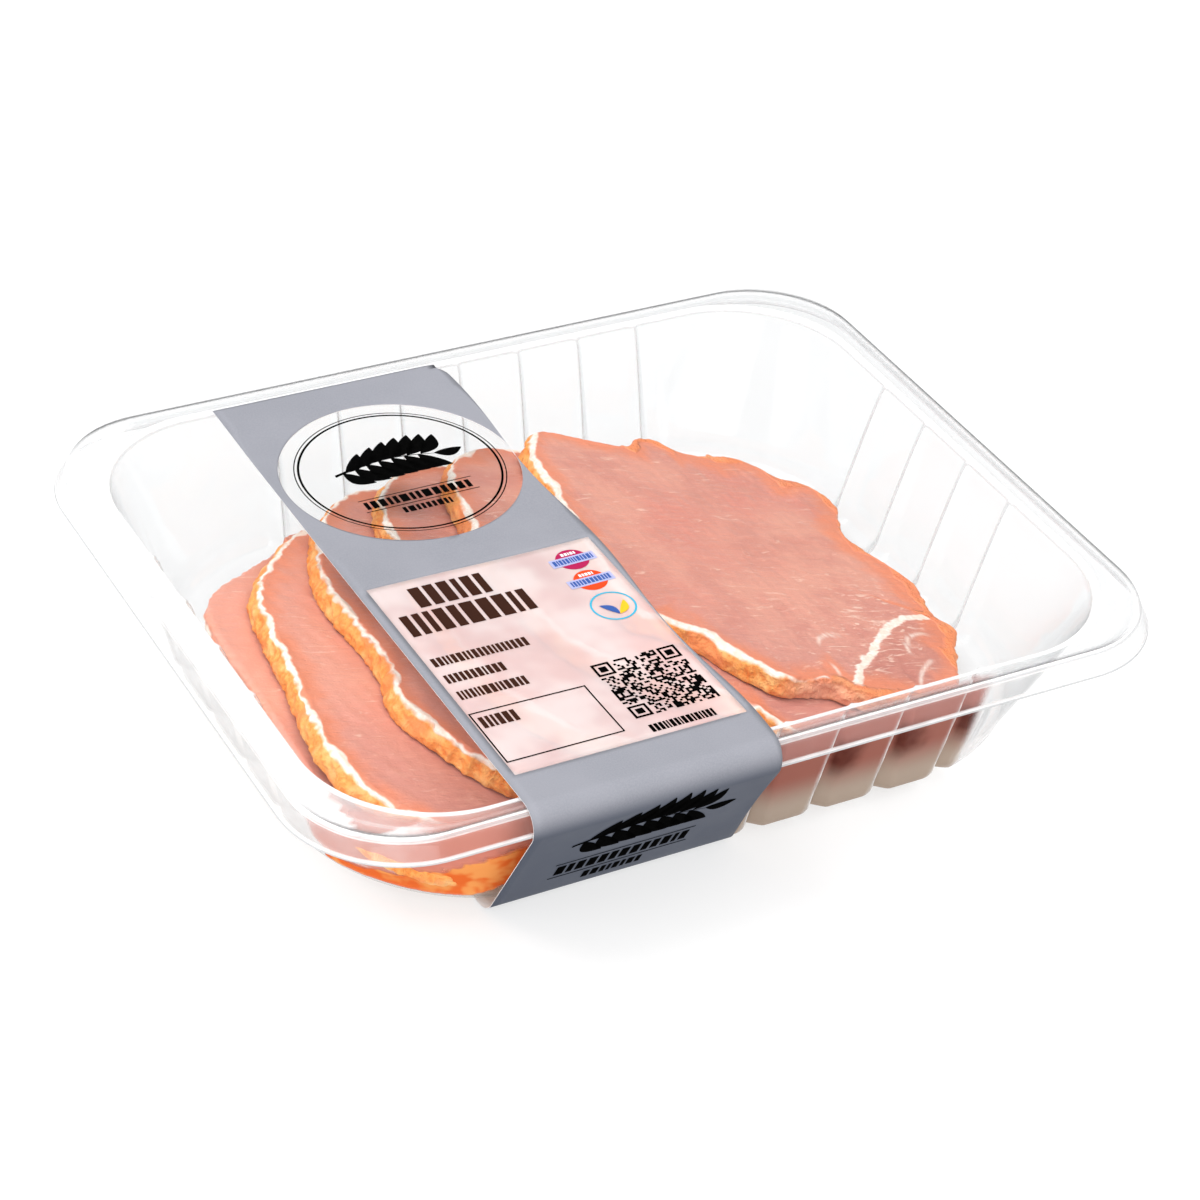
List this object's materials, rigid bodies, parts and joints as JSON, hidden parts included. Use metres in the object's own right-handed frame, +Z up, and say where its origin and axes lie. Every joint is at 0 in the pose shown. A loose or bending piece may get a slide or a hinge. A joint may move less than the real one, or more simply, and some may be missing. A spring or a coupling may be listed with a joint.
{
  "type": "meat tray pack",
  "caption": "Clear ribbed plastic tray of shingled marinated pork loin slices, sealed with clear film and banded front to base by a printed paper label.",
  "frame": {"origin": "bottom centre of the whole pack: the middle of its bounding box in plan, on the surface it stands on", "axes": "+X along the tray's long side, +Y from the label's folded front to the back, +Z up"},
  "size_m": [0.227, 0.1841, 0.0417],
  "materials": {
    "clear_plastic": "clear thermoformed plastic, glossy and thin",
    "clear_film": "clear glossy lidding film",
    "printed_paper": "satin printed label stock, blue-grey, with a clear round window and a pale pink panel",
    "pork_loin": "moist raw pork loin, salmon pink with pale marbling and an orange paprika crust round the edge"
  },
  "bodies": {
    "root": {"tray": "clear_plastic", "lid_film": "clear_film", "label": "printed_paper", "slice_1": "pork_loin", "slice_2": "pork_loin", "slice_3": "pork_loin", "slice_4": "pork_loin", "slice_5": "pork_loin", "slice_6": "pork_loin"}
  },
  "joints": []
}
